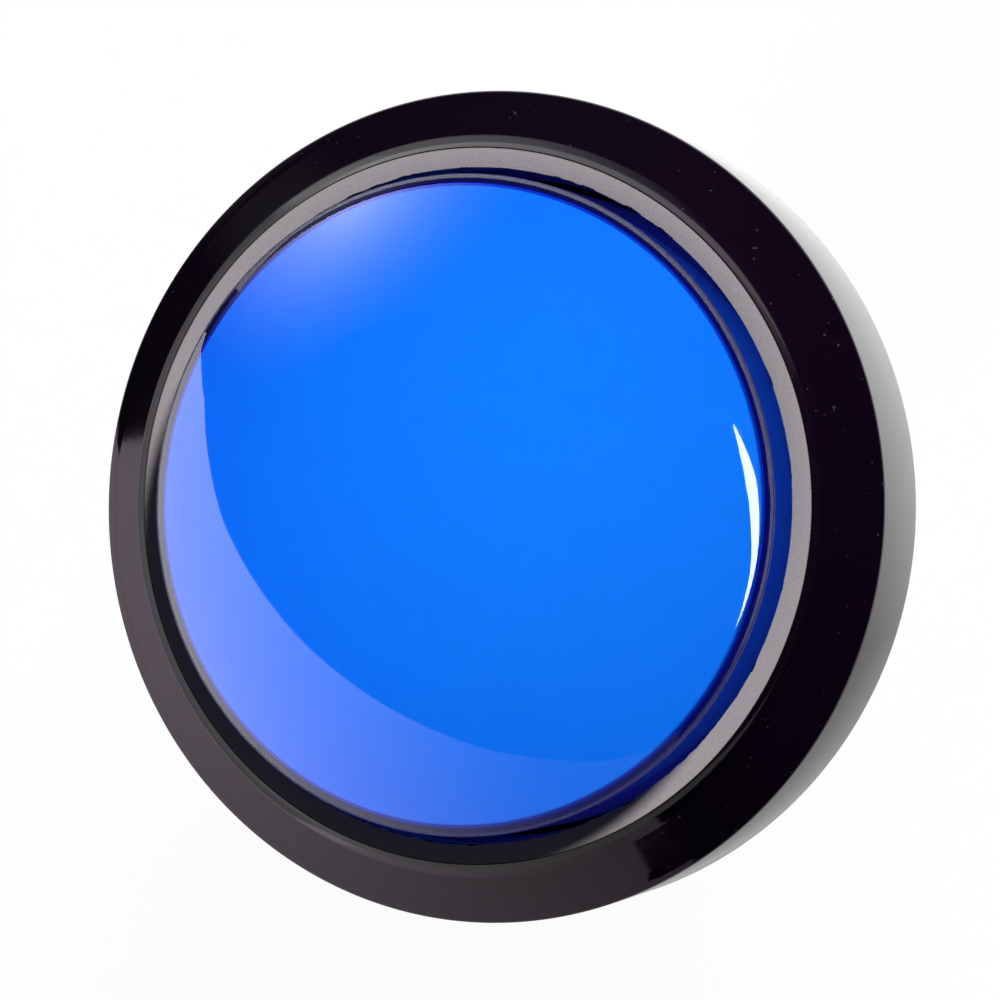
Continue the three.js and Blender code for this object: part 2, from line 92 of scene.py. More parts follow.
# The flange slopes from its rim up to the collar, whose flat top is the crest.
FLANGE_R = BEZEL_HIGH.x
FLANGE_WALL = 2.2
CREST_Z = BEZEL_HIGH.z
RIM_Z = CREST_Z - 4.4
CREST_R = FLANGE_R - 7.45
COLLAR_IN_R = CREST_R - 2.4
RIBS = 12

# Inside the collar is the well, and below its floor the barrel with its bore in three widths.
WELL_FLOOR = 3.4
WELL_UNDER = 1.2
TUBE_R = 9.5
THROAT_R = 7.8
THROAT_TOP = -12.0
THROAT_END = -24.0
MOUTH_R = 8.6
BARREL_R = 12.0
TAIL_R = 11.4
BARREL_END = BEZEL_LOW.z
THREAD_PITCH = 2.0
THREAD_DEPTH = 0.75
THREAD_TOP = -0.8
THREAD_END = -26.0

# The lens is a ball cap with a rounded edge over a straight skirt.
LENS_R = LENS_HIGH.x - 0.3
LENS_WALL = 1.3
LENS_BOTTOM = LENS_LOW.z
CROWN_Z = LENS_HIGH.z
EDGE_SLOPE = math.radians(30)
CORNER_R = 1.5
EDGE_R = LENS_R - CORNER_R * (1 - math.sin(EDGE_SLOPE))
BALL_R = EDGE_R / math.sin(EDGE_SLOPE)
BALL_Z = CROWN_Z - BALL_R
EDGE_Z = BALL_Z + BALL_R * math.cos(EDGE_SLOPE)
CLIPS = 6
DIFFUSER_GAP = 0.25
DIFFUSER_WALL = 1.4

# Two pegs on the lamp holder's plate go through opposite corners of the switch.
PEG_R = 1.4
PEG_INSET = 2.8
PEG_PLACES = [(SWITCH_LOW.x + PEG_INSET, SWITCH_LOW.z + PEG_INSET),
              (SWITCH_HIGH.x - PEG_INSET, SWITCH_HIGH.z - PEG_INSET)]


# ---- making meshes ---------------------------------------------------------------------

def new_piece(name, verts, faces, smooth_below=35):
    """A mesh object from points in millimetres, smooth except over sharp folds."""
    mesh = bpy.data.meshes.new(name)
    mesh.from_pydata([Vector(v) * MM for v in verts], [], faces)
    mesh.validate()
    piece = bpy.data.objects.new(name, mesh)
    scene.collection.objects.link(piece)
    finish_mesh(piece, smooth_below)
    return piece


def finish_mesh(piece, smooth_below=35):
    """Welds the mesh, turns its faces outwards and smooths what isn't a sharp fold."""
    work = bmesh.new()
    work.from_mesh(piece.data)
    bmesh.ops.remove_doubles(work, verts=work.verts, dist=1e-6)
    bmesh.ops.recalc_face_normals(work, faces=work.faces)
    work.to_mesh(piece.data)
    work.free()
    piece.data.shade_smooth()
    piece.data.set_sharp_from_angle(angle=math.radians(smooth_below))


def rounded(corners, steps=6):
    """An outline of (r, z) corners, each with an optional fillet radius as a third number."""
    outline = []
    count = len(corners)
    for i, corner in enumerate(corners):
        here = Vector(corner[:2])
        radius = corner[2] if len(corner) > 2 else 0
        if not radius:
            outline.append(here)
            continue
        before = Vector(corners[i - 1][:2]) - here
        after = Vector(corners[(i + 1) % count][:2]) - here
        half = before.angle(after) / 2
        reach = min(radius / math.tan(half), 0.49 * before.length, 0.49 * after.length)
        true_radius = reach * math.tan(half)
        middle = (before.normalized() + after.normalized()).normalized()
        centre = here + middle * (true_radius / math.sin(half))
        start = here + before.normalized() * reach - centre
        end = here + after.normalized() * reach - centre
        sweep = start.angle(end)
        for k in range(steps + 1):
            t = k / steps
            outline.append(centre + start * (math.sin((1 - t) * sweep) / math.sin(sweep))
                           + end * (math.sin(t * sweep) / math.sin(sweep)))
    return outline


def turned(name, outline, segments=256, smooth_below=35, reshape=None):
    """Turns a closed (r, z) outline round the push axis. reshape(angle, r, z) may move a point."""
    verts, faces = [], []
    count = len(outline)
    for s in range(segments):
        angle = TURN * s / segments
        for r, z in outline:
            if reshape:
                r, z = reshape(angle, r, z)
            verts.append((r * math.cos(angle), r * math.sin(angle), z))
    for s in range(segments):
        here, there = s * count, (s + 1) % segments * count
        for i in range(count):
            j = (i + 1) % count
            first, last = outline[i][0] < 1e-6, outline[j][0] < 1e-6
            if first and last:
                continue
            if first:
                faces.append((here + i, there + j, here + j))
            elif last:
                faces.append((here + i, there + i, here + j))
            else:
                faces.append((here + i, there + i, there + j, here + j))
    return new_piece(name, verts, faces, smooth_below)


def block(low, high):
    """A plain box that cuts or joins another piece, from its two corners."""
    xs, ys, zs = zip(low, high)
    verts = [(x, y, z) for x in xs for y in ys for z in zs]
    faces = [(0, 1, 3, 2), (4, 6, 7, 5), (0, 4, 5, 1), (2, 3, 7, 6), (0, 2, 6, 4), (1, 5, 7, 3)]
    return new_piece("tool", verts, faces)


def cross_rod(radius, y0, y1, x, z, sides=48):
    """A rod along Y that cuts or joins another piece."""
    verts = []
    for y in (y0, y1):
        for k in range(sides):
            a = TURN * k / sides
            verts.append((x + radius * math.cos(a), y, z + radius * math.sin(a)))
    faces = [tuple(range(sides)), tuple(range(2 * sides - 1, sides - 1, -1))]
    for k in range(sides):
        j = (k + 1) % sides
        faces.append((k, j, sides + j, sides + k))
    return new_piece("tool", verts, faces)


def turn_about_z(tool, degrees):
    tool.data.transform(Matrix.Rotation(math.radians(degrees), 4, "Z"))
    return tool


def combine(base, tools, operation, smooth_below=35):
    """Joins the tools to the base, or cuts them from it, and removes them."""
    for tool in tools:
        step = base.modifiers.new("combine", "BOOLEAN")
        step.operation = operation
        step.solver = "EXACT"
        step.object = tool
    depsgraph = bpy.context.evaluated_depsgraph_get()
    mesh = bpy.data.meshes.new_from_object(base.evaluated_get(depsgraph))
    base.modifiers.clear()
    base.data = mesh
    for tool in tools:
        bpy.data.objects.remove(tool)
    finish_mesh(base, smooth_below)
    return base


def softened(node, radius, name):
    """A copy of a CAD node's solid with its flat faces whole and its edges rounded."""
    piece = bpy.data.objects.new(name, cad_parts[node].data.copy())
    scene.collection.objects.link(piece)
    work = bmesh.new()
    work.from_mesh(piece.data)
    bmesh.ops.remove_doubles(work, verts=work.verts, dist=1e-6)
    bmesh.ops.dissolve_limit(work, angle_limit=math.radians(1), verts=work.verts,
                             edges=work.edges)
    folds = [e for e in work.edges if e.is_manifold and e.calc_face_angle() > math.radians(35)]
    bmesh.ops.bevel(work, geom=folds, offset=radius * MM, segments=2, profile=0.5,
                    affect="EDGES", clamp_overlap=True)
    work.to_mesh(piece.data)
    work.free()
    finish_mesh(piece, 50)
    return piece


def swept(name, path, radius, sides=14):
    """A round wire along a path of points, with flat ends."""
    verts, faces = [], []
    for i, point in enumerate(path):
        ahead = path[min(i + 1, len(path) - 1)] - path[max(i - 1, 0)]
        ahead.normalize()
        side = ahead.cross(Vector((0, 0, 1))).normalized()
        up = side.cross(ahead)
        for k in range(sides):
            a = TURN * k / sides
            verts.append(point + (side * math.cos(a) + up * math.sin(a)) * radius)
    for i in range(len(path) - 1):
        for k in range(sides):
            j = (k + 1) % sides
            faces.append((i * sides + k, i * sides + j, (i + 1) * sides + j, (i + 1) * sides + k))
    last = (len(path) - 1) * sides
    faces.append(tuple(range(sides)))
    faces.append(tuple(range(last + sides - 1, last - 1, -1)))
    return new_piece(name, verts, faces, 60)


def settle(piece, body, node, look):
    """Gives a finished piece its body and its look, and hides the CAD node it stands for."""
    piece.data.materials.clear()
    piece.data.materials.append(look.material)
    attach(piece, body)
    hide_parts(node)
    return piece


# ---- node materials --------------------------------------------------------------------

class Look:
    """A node material built step by step round one Principled shader."""

    def __init__(self, name, **sockets):
        self.material = bpy.data.materials.new(name)
        self.material.use_nodes = True
        self.tree = self.material.node_tree
        self.shader = self.tree.nodes["Principled BSDF"]
        self.set(**sockets)
        self.where = self.add("ShaderNodeTexCoord").outputs["Object"]

    def add(self, kind, **inputs):
        node = self.tree.nodes.new(kind)
        for socket, value in inputs.items():
            self.feed(node.inputs[socket.replace("_", " ")], value)
        return node

    def feed(self, socket, value):
        if isinstance(value, bpy.types.NodeSocket):
            self.tree.links.new(value, socket)
        else:
            socket.default_value = value

    def set(self, **sockets):
        for socket, value in sockets.items():
            self.feed(self.shader.inputs[socket.replace("_", " ")], value)

    def math(self, operation, *values, clamp=False):
        node = self.add("ShaderNodeMath")
        node.operation = operation
        node.use_clamp = clamp
        for socket, value in zip(node.inputs, values):
            self.feed(socket, value)
        return node.outputs[0]

    def parts(self, vector=None):
        """The x, y and z of a vector, or of the place on the object."""
        node = self.add("ShaderNodeSeparateXYZ", Vector=vector or self.where)
        return node.outputs[0], node.outputs[1], node.outputs[2]

    def radius(self):
        """The distance from the push axis."""
        x, y, _ = self.parts()
        return self.math("SQRT", self.math("ADD", self.math("MULTIPLY", x, x),
                                           self.math("MULTIPLY", y, y)))

    def stretched(self, x, y, z):
        node = self.add("ShaderNodeVectorMath")
        node.operation = "MULTIPLY"
        self.feed(node.inputs[0], self.where)
        node.inputs[1].default_value = (x, y, z)
        return node.outputs[0]

    def noise(self, scale, detail=3.0, roughness=0.5, where=None):
        node = self.add("ShaderNodeTexNoise", Scale=scale, Detail=detail, Roughness=roughness)
        self.feed(node.inputs["Vector"], where or self.where)
        return node.outputs["Fac"]

    def between(self, value, low, high, start=0.0, end=1.0):
        """value from start to end becomes a number from low to high, and stays in that range."""
        node = self.add("ShaderNodeMapRange", Value=value)
        for socket, number in zip(node.inputs[1:5], (start, end, low, high)):
            self.feed(socket, number)
        return node.outputs["Result"]

    def mix(self, factor, first, second):
        """A colour between two colours."""
        node = self.add("ShaderNodeMix")
        node.data_type = "RGBA"
        self.feed(node.inputs["Factor"], factor)
        for socket, colour in ((node.inputs[6], first), (node.inputs[7], second)):
            self.feed(socket, colour if not isinstance(colour, tuple) else (*colour, 1))
        return node.outputs[2]

    def bump(self, height, distance, strength=1.0):
        node = self.add("ShaderNodeBump", Height=height, Distance=distance, Strength=strength)
        self.set(Normal=node.outputs["Normal"])


def dusty(look, scale=1700, above=0.73):
    """1 on scattered specks of dust, 0 elsewhere."""
    return look.between(look.noise(scale, 1.0), 0, 1, above, above + 0.03)


def bezel_look():
    """Glossy black moulding, with a worn satin land on top of the collar and dust on it all."""
    look = Look("bezel_black", IOR=1.46)
    radius = look.radius()
    _, _, z = look.parts()
    ragged = look.math("MULTIPLY", look.math("SUBTRACT", look.noise(330, 3.0, 0.6), 0.5), 0.0009)
    reach = look.math("ADD", radius, ragged)
    inner = look.between(reach, 0, 1, (COLLAR_IN_R + 0.04) * MM, (COLLAR_IN_R + 0.1) * MM)
    outer = look.between(radius, 1, 0, (CREST_R - 0.1) * MM, (CREST_R + 0.02) * MM)
    high = look.between(z, 0, 1, (CREST_Z - 0.75) * MM, (CREST_Z - 0.65) * MM)
    land = look.math("MULTIPLY", look.math("MULTIPLY", inner, outer), high)
    grit = look.noise(5200, 2.0)
    specks = dusty(look, 1700, 0.755)
    black = look.mix(specks, (0.0012, 0.0004, 0.0018), (0.012, 0.010, 0.012))
    grey = look.mix(look.between(grit, 0, 1, 0.35, 0.65), (0.125, 0.113, 0.12),
                    (0.15, 0.137, 0.143))
    look.set(Base_Color=look.mix(land, black, grey))
    gloss = look.between(look.noise(60, 4.0), 0.03, 0.075, 0.35, 0.65)
    gloss = look.math("ADD", gloss, look.math("MULTIPLY", specks, 0.2))
    look.set(Roughness=look.math("ADD", gloss, look.math("MULTIPLY", land, 0.27), clamp=True))
    height = look.math("ADD", look.math("MULTIPLY", look.noise(900, 2.0), 0.25),
                       look.math("MULTIPLY", grit, look.math("MULTIPLY", land, 2.5)))
    look.bump(height, 0.000012, 0.35)
    return look


def lens_look():
    """Clear blue plastic: it colours light by how far the light goes through it. A faint blue glow
    is painted on it too, though it is no lamp.
    """
    look = Look("lens_blue", Base_Color=(0.93, 0.97, 1.0, 1), IOR=1.49)
    look.shader.inputs["Transmission Weight"].default_value = 1.0
    # Painted light: a faint, even blue glow of the lens's own, though no lamp lights it.
    look.shader.inputs["Emission Color"].default_value = (0.06, 0.08, 1.0, 1)
    look.shader.inputs["Emission Strength"].default_value = 0.04
    marks = dusty(look, 1300, 0.77)
    haze = look.between(look.noise(45, 3.0), 0.0, 0.012, 0.4, 0.65)
    look.set(Roughness=look.math("ADD", haze, look.math("MULTIPLY", marks, 0.12)))
    dye = look.tree.nodes.new("ShaderNodeVolumeAbsorption")
    dye.inputs["Color"].default_value = (0.012, 0.70, 0.945, 1)
    dye.inputs["Density"].default_value = 4300
    output = look.tree.nodes["Material Output"]
    look.tree.links.new(dye.outputs["Volume"], output.inputs["Volume"])
    return look


def plastic(name, colour, roughness, grain=900, mottle=0.08, bump=0.3):
    """Moulded plastic with a fine grain and a slight mottle."""
    look = Look(name)
    fine = look.noise(grain, 3.0)
    wide = look.noise(70, 3.0)
    shade = look.math("ADD", look.math("MULTIPLY", fine, 0.5), look.math("MULTIPLY", wide, 0.5))
    dark = tuple(c * (1 - mottle) for c in colour)
    light = tuple(min(1.0, c * (1 + mottle)) for c in colour)
    look.set(Base_Color=look.mix(look.between(shade, 0, 1, 0.35, 0.65), dark, light))
    look.set(Roughness=look.between(wide, roughness * 0.85, min(1, roughness * 1.2), 0.3, 0.7))
    look.bump(fine, 0.00002, bump)
    return look


def metal(name, colour, tarnish, roughness=0.28, along=(1.0, 1.0, 0.04)):
    """Stamped or drawn metal, brushed along one way, with a little tarnish."""
    look = Look(name, Metallic=1.0)
    brushed = look.noise(1500, 2.0, where=look.stretched(*along))
    patches = look.between(look.noise(160, 4.0), 0, 1, 0.5, 0.68)
    look.set(Base_Color=look.mix(patches, colour, tarnish))
    base = look.between(brushed, roughness * 0.75, roughness * 1.35, 0.3, 0.7)
    look.set(Roughness=look.math("ADD", base, look.math("MULTIPLY", patches, 0.12)))
    look.bump(brushed, 0.000008, 0.4)
    return look


def rubber_look():
    """Closed-cell sponge rubber, dull with small pores."""
    look = Look("gasket_rubber", Roughness=0.9)
    cells = look.add("ShaderNodeTexVoronoi", Scale=1400.0)
    look.feed(cells.inputs["Vector"], look.where)
    pores = look.between(cells.outputs["Distance"], 0, 1, 0.1, 0.45)
    # The pores' dips are painted darker than the rubber round them: painted shade inside them.
    look.set(Base_Color=look.mix(pores, (0.006, 0.006, 0.007), (0.022, 0.022, 0.024)))
    look.bump(pores, 0.00012, 0.6)
    return look


def led_look():
    """Clear resin with a faint bluish tint."""
    look = Look("led_clear", Base_Color=(0.88, 0.94, 1.0, 1), IOR=1.52)
    look.shader.inputs["Transmission Weight"].default_value = 1.0
    look.set(Roughness=look.between(look.noise(400, 2.0), 0.02, 0.08))
    return look


# ---- bezel: flange, collar, well and threaded barrel ------------------------------------

def thread_height(angle, z):
    """How far the thread stands above its root, from 0 to 1, at a place on the barrel."""
    phase = (z / THREAD_PITCH - angle / TURN) % 1.0
    root, flank = 0.18, 0.34
    ridge = 1 - abs(phase - 0.5) * 2
    crest = min(1.0, max(0.0, (ridge - root) / flank))
    return crest * crest * (3 - 2 * crest)


def bezel_outline():
    """The bezel's section: up the barrel, round the flange and collar, and down the well."""
    steps_per_turn = 10
    steps = round((THREAD_TOP - THREAD_END) / THREAD_PITCH * steps_per_turn)
    thread = [(BARREL_R, THREAD_END + (THREAD_TOP - THREAD_END) * k / steps)
              for k in range(steps + 1)]
    well_wall = CREST_R - 0.2
    flange_inside = FLANGE_R - FLANGE_WALL
    return rounded([
        (MOUTH_R, BARREL_END, 0.25),
        (TAIL_R, BARREL_END, 0.35),
        (TAIL_R, THREAD_END - 0.5, 0.1),
    ] + thread + [
        (BARREL_R, WELL_UNDER, 0.3),
        (COLLAR_IN_R, WELL_UNDER),
        (COLLAR_IN_R, 0.0, 0.2),
        (well_wall, 0.0, 0.2),
        (well_wall, CREST_Z - 3.5, 0.4),
        (flange_inside, RIM_Z - 1.8, 0.4),
        (flange_inside, 0.0, 0.2),
        (FLANGE_R, 0.0, 0.45),
        (FLANGE_R, RIM_Z, 0.5),
        (FLANGE_R - 1.6, RIM_Z + 0.72, 2.5),
        (CREST_R + 1.75, CREST_Z - 1.65, 1.8),
        (CREST_R + 0.75, CREST_Z - 0.85, 1.2),
        (CREST_R + 0.1, CREST_Z, 0.22),
        (COLLAR_IN_R, CREST_Z - 0.2, 0.16),
        (COLLAR_IN_R - 0.25, WELL_FLOOR, 0.4),
        (TUBE_R, WELL_FLOOR, 0.3),
        (TUBE_R, THROAT_TOP),
        (THROAT_R, THROAT_TOP, 0.2),
        (THROAT_R, THROAT_END, 0.2),
        (MOUTH_R, THROAT_END),
    ])


def flange_ribs():
    """Thin ribs under the flange, from the well's wall to the flange's side."""
    half, bite, gap = 0.7, 0.4, 0.6
    ribs = []
    for i in range(RIBS):
        rib = block((CREST_R - bite, -half, gap),
                    (FLANGE_R - FLANGE_WALL + bite, half, RIM_Z - gap))
        ribs.append(turn_about_z(rib, (i + 0.5) * 360 / RIBS))
    return ribs


def lock_slots():
    """Two slots in the barrel's end that take the lamp holder's lugs and lock them."""
    half, lock_end, entry_end, outer = 1.9, 2.5, 6.2, 13
    top, bottom = -26.7, -28.9
    slots = []
    for side in (0, 180):
        lock = block((-half, 7, bottom), (lock_end, outer, top))
        entry = block((half, 6.5, BARREL_END - 1), (entry_end, outer, top - 0.01))
        slots += [turn_about_z(lock, side), turn_about_z(entry, side)]
    return slots


def make_bezel():
    run_out = 0.8

    def threaded(angle, r, z):
        if abs(r - BARREL_R) > 1e-6 or not THREAD_END <= z <= THREAD_TOP:
            return r, z
        fade = min(1.0, (THREAD_TOP - z) / run_out, (z - THREAD_END) / run_out)
        return r - THREAD_DEPTH * (1 - thread_height(angle, z)) * fade, z

    bezel = turned("bezel_shell", bezel_outline(), 256, 30, threaded)
    combine(bezel, flange_ribs(), "UNION", 30)
    combine(bezel, lock_slots(), "DIFFERENCE", 30)
    return settle(bezel, "housing", "bezel", bezel_look())


def make_gasket():
    inner, outer, edge = 14.0, GASKET_HIGH.x, 0.2
    low, high = GASKET_LOW.z, GASKET_HIGH.z
    outline = rounded([(inner, low, edge), (outer, low, edge), (outer, high, edge),
                       (inner, high, edge)], 4)
    gasket = turned("gasket_washer", outline, 128, 60)
    return settle(gasket, "housing", "panel_gasket", rubber_look())


def make_nut():
    """A hexagon nut, chamfered below, threaded inside, with a washer flange on top."""
    flats = 29.0
    corner = flats / 2 / math.cos(math.pi / 6)
    bore = BARREL_R + 0.3
    thread_depth = 0.16
    top, bottom = NUT_HIGH.z, NUT_LOW.z
    flange_bottom = top - 1.6
    lead_in = 0.4
    mouth = bore + 0.45
    thread_rows, chamfer_rows = 40, 6

    def shaped(angle, r, z):
        if r < bore + 0.3:
            return r + thread_depth * (1 - thread_height(angle, z)), z
        if r <= flats / 2 + 0.01 or z > flange_bottom - 0.01:
            return r, z
        across = (angle % (math.pi / 3)) - math.pi / 6
        hexagon = flats / 2 / math.cos(across)
        cone = flats / 2 + 0.5 + (z - bottom) * 1.7
        return min(hexagon, cone), z

    wall = [(bore, top - lead_in - (top - bottom - 2 * lead_in) * k / thread_rows)
            for k in range(thread_rows + 1)]
    outside = [(corner, bottom + 1.4 * k / chamfer_rows) for k in range(chamfer_rows + 1)]
    outline = rounded([(mouth, top)] + wall + [(mouth, bottom), (flats / 2, bottom)] + outside + [
        (corner, flange_bottom - 0.35), (corner + 0.01, flange_bottom - 0.02),
        (NUT_HIGH.x, flange_bottom, 0.5), (NUT_HIGH.x, top, 0.35)], 4)
    nut = turned("panel_nut_hex", outline, 288, 28, shaped)
    look = plastic("nut_black", (0.012, 0.012, 0.014), 0.42, 1400, 0.25)
    return settle(nut, "housing", "panel_nut", look)


# ---- the button: lens, diffuser, plunger and spring --------------------------------------

def dome(radius, reach, steps=40):
    """(r, z) points on a ball about the dome's centre, from the axis out to reach."""
    end = math.asin(reach / radius)
    return [(radius * math.sin(end * i / steps), BALL_Z + radius * math.cos(end * i / steps))
            for i in range(steps + 1)]


def bend_down(start, fillet, drop, steps):
    """A quarter bend from a dome's edge into a straight wall, sinking by drop on its way."""
    quarter = math.pi / 2
    bend = []
    for k in range(1, steps + 1):
        a = quarter * k / steps
        bend.append((start[0] + fillet * math.sin(a),
                     start[1] - fillet * (1 - math.cos(a)) - drop * (a / quarter)))
    return bend


def make_lens():
    """The dome, its rounded edge and its skirt, with snap clips inside the skirt's foot."""
    corner_z = EDGE_Z - CORNER_R * math.cos(EDGE_SLOPE)
    edge_steps = 10
    edge = []
    for k in range(1, edge_steps + 1):
        a = EDGE_SLOPE + (math.pi / 2 - EDGE_SLOPE) * k / edge_steps
        edge.append((LENS_R - CORNER_R + CORNER_R * math.sin(a),
                     corner_z + CORNER_R * math.cos(a)))
    inner = LENS_R - LENS_WALL
    fillet = 0.8
    inside = dome(BALL_R - LENS_WALL, inner - fillet)
    bend = bend_down(inside[-1], fillet, 0.35, 8)
    flare, foot_z = 0.28, LENS_BOTTOM + 0.2
    clip_high = LENS_BOTTOM + 1.3
    clip_reach, clip_half_angle = 0.9, 4
    ridge = inner - 0.12
    outline = dome(BALL_R, EDGE_R) + edge + [
        (LENS_R + flare, foot_z), (LENS_R + 0.1, LENS_BOTTOM),
        (inner + 0.2, LENS_BOTTOM), (inner + 0.02, foot_z), (ridge, foot_z),
        (ridge, clip_high), (inner + 0.02, clip_high)] + bend[::-1] + inside[::-1]

    def clipped(angle, r, z):
        if abs(r - ridge) > 1e-6:
            return r, z
        off = abs((math.degrees(angle) + 30) % (360 / CLIPS) - 30)
        return (r - clip_reach if off <= clip_half_angle else r), z

    lens = turned("lens_shell", outline, 288, 30, clipped)
    return settle(lens, "button", "lens", lens_look())


def make_diffuser():
    outer = BALL_R - LENS_WALL - DIFFUSER_GAP
    skirt = LENS_R - LENS_WALL - DIFFUSER_GAP
    bottom = DIFFUSER_LOW.z
    fillet = 0.5
    crown = dome(outer, skirt - fillet)
    outline = crown + bend_down(crown[-1], fillet, 0.3, 6) + [
        (skirt, bottom), (skirt - DIFFUSER_WALL, bottom)]
    outline += dome(outer - DIFFUSER_WALL, skirt - DIFFUSER_WALL - 0.3)[::-1]
    cup = turned("diffuser_cup", outline, 192, 40)
    look = plastic("diffuser_white", (0.80, 0.82, 0.85), 0.5, 700, 0.02, 0.1)
    return settle(cup, "button", "diffuser", look)


def make_plunger():
    plunger = softened("plunger", 0.2, "plunger_moulding")
    look = plastic("plunger_white", (0.78, 0.79, 0.8), 0.45, 900, 0.03)
    return settle(plunger, "button", "plunger", look)


def make_spring():
    wire = 0.5
    radius = SPRING_HIGH.x - wire
    low, high = SPRING_LOW.z + wire, SPRING_HIGH.z - wire
    turns, steps = 8, 40
    closed = 1.05 * wire * 2
    pitch = (high - low - 2 * closed) / (turns - 2)
    path = []
    for i in range(turns * steps + 1):
        u = i / steps
        z = low + closed * min(u, 1) + pitch * min(max(u - 1, 0), turns - 2) \
            + closed * max(u - turns + 1, 0)
        a = TURN * u
        path.append(Vector((radius * math.cos(a), radius * math.sin(a), z)))
    spring = swept("return_spring_coil", path, wire)
    look = metal("spring_steel", (0.62, 0.63, 0.65), (0.42, 0.42, 0.43), 0.22, (1, 1, 0.3))
    settle(spring, "housing", "return_spring", look)
    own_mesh(spring)
    return spring


# ---- lamp holder and lamp ----------------------------------------------------------------

def make_holder():
    """A knurled disc with a boss and two lugs above it, and a plate for the switch below."""
    top, bottom = HOLDER_HIGH.z, HOLDER_LOW.z
    disc_r, disc_top, disc_bottom = 13.2, -30.3, -33.0
    boss_r = 7.4
    grips, grip_depth = 36, 0.28
    plate_left, plate_right, plate_front, plate_back = -11.9, 15.3, 5.45, 7.45
    lug_half, lug_inner, lug_outer, lug_bottom, lug_top = 1.6, 6.9, 10.4, -28.6, -27.0

    def knurled(angle, r, z):
        if r < disc_r - 0.15 or z > disc_top - 0.3 or z < disc_bottom + 0.3:
            return r, z
        return r - grip_depth * (0.5 + 0.5 * math.cos(grips * angle)), z

    outline = rounded([
        (0.0, disc_bottom), (disc_r, disc_bottom, 0.35), (disc_r, disc_bottom + 0.8),
        (disc_r, disc_top - 0.8), (disc_r, disc_top, 0.35), (boss_r, disc_top, 0.3),
        (boss_r, top, 0.4), (0.0, top)], 4)
    holder = turned("lamp_holder_body", outline, 288, 30, knurled)
    plate = block((plate_left, plate_front, bottom), (plate_right, plate_back, disc_bottom + 0.4))
    lugs = [turn_about_z(block((-lug_half, lug_inner, lug_bottom),
                               (lug_half, lug_outer, lug_top)), side) for side in (0, 180)]
    pegs = [cross_rod(PEG_R, SWITCH_LOW.y - 0.7, plate_front + 0.55, x, z)
            for x, z in PEG_PLACES]
    combine(holder, [plate] + lugs + pegs, "UNION", 30)
    combine(holder, holder_openings(top, disc_bottom), "DIFFERENCE", 30)
    look = plastic("holder_cream", (0.76, 0.73, 0.63), 0.42, 1100, 0.04)
    return settle(holder, "housing", "lamp_holder", look)


def holder_openings(top, disc_bottom):
    """Cutters for the lamp's pocket, the two contact slots, the window below and two vents."""
    pocket_half, pocket_reach, pocket_bottom = 2.2, 5.5, -28.0
    slot_half, slot_inner, slot_top = 1.8, 4.4, -27.5
    window_half, window_back, window_bottom = 2.7, 8.5, -36.6
    vent_inner, vent_outer, vent_half_angle = 5.7, 7.8, 27
    cuts = [block((-pocket_half, -pocket_reach, pocket_bottom),
                  (pocket_half, pocket_reach, top + 1))]
    for side in (-1, 1):
        near, far = sorted((side * slot_inner, side * pocket_reach))
        cuts.append(block((-slot_half, near, disc_bottom - 1), (slot_half, far, slot_top)))
    cuts.append(block((-window_half, slot_inner, window_bottom),
                      (window_half, window_back, disc_bottom - 0.01)))
    for side in (0, 180):
        vent = ring_slice(vent_inner, vent_outer, vent_half_angle, disc_bottom - 1, top + 1)
        cuts.append(turn_about_z(vent, side))
    return cuts


def ring_slice(inner, outer, half_angle, low, high, steps=16):
    """A slice of a ring about the push axis, centred on +X, that cuts another piece."""
    verts = []
    for z in (low, high):
        for radius, order in ((inner, 1), (outer, -1)):
            for k in range(steps + 1):
                a = math.radians(half_angle * (2 * k / steps - 1) * order)
                verts.append((radius * math.cos(a), radius * math.sin(a), z))
    count = 2 * (steps + 1)
    faces = [tuple(range(count)), tuple(range(2 * count - 1, count - 1, -1))]
    for k in range(count):
        j = (k + 1) % count
        faces.append((k, j, count + j, count + k))
    return new_piece("tool", verts, faces)


def make_lamp():
    """The two brass contacts, the wedge base, the two leads and the diode."""
    pieces = []
    tab_out, tab_half, tab_end = 9.95, 2.4, -44.0
    hole_r, hole_z = 0.75, -40.6
    look = metal("contact_brass", (0.78, 0.57, 0.22), (0.42, 0.27, 0.10), 0.3)
    for side, node in ((-1, "lamp_contact_front"), (1, "lamp_contact_back")):
        contact = softened(node, 0.1, node + "_strip")
        tab_y = side * tab_out
        hole = cross_rod(hole_r, tab_y - 1, tab_y + 1, 0, hole_z, 24)
        tips = tip_cutters(-tab_half, tab_half, tab_end, tab_y)
        combine(contact, [hole] + tips, "DIFFERENCE", 50)
        pieces.append(settle(contact, "housing", node, look))
    base = softened("lamp_base", 0.15, "lamp_wedge_base")
    pieces.append(settle(base, "housing", "lamp_base",
                         plastic("lamp_base_white", (0.7, 0.7, 0.68), 0.4)))
    tin = metal("lead_tin", (0.7, 0.7, 0.7), (0.5, 0.5, 0.48), 0.3)
    for node in ("led_lead_front", "led_lead_back"):
        wire = softened(node, 0.08, node + "_wire")
        pieces.append(settle(wire, "housing", node, tin))
    led = turned("led_bulb", led_outline(), 96, 35)
    pieces.append(settle(led, "housing", "led", led_look()))
    return pieces


def led_outline():
    """A thin rim at the foot of a straight body with a round end."""
    bottom, top, rim, body = LED_LOW.z, LED_HIGH.z, LED_HIGH.x, 4.0
    bevel, rim_thick, steps = 0.15, 1.0, 16
    shell = [(body * math.cos(a), top - body + body * math.sin(a))
             for a in (math.pi / 2 * k / steps for k in range(steps))] + [(0.0, top)]
    return [(0.0, bottom), (rim - bevel, bottom), (rim, bottom + bevel),
            (rim, bottom + rim_thick - bevel), (rim - bevel, bottom + rim_thick),
            (body, bottom + rim_thick)] + shell


# ---- switch --------------------------------------------------------------------------------

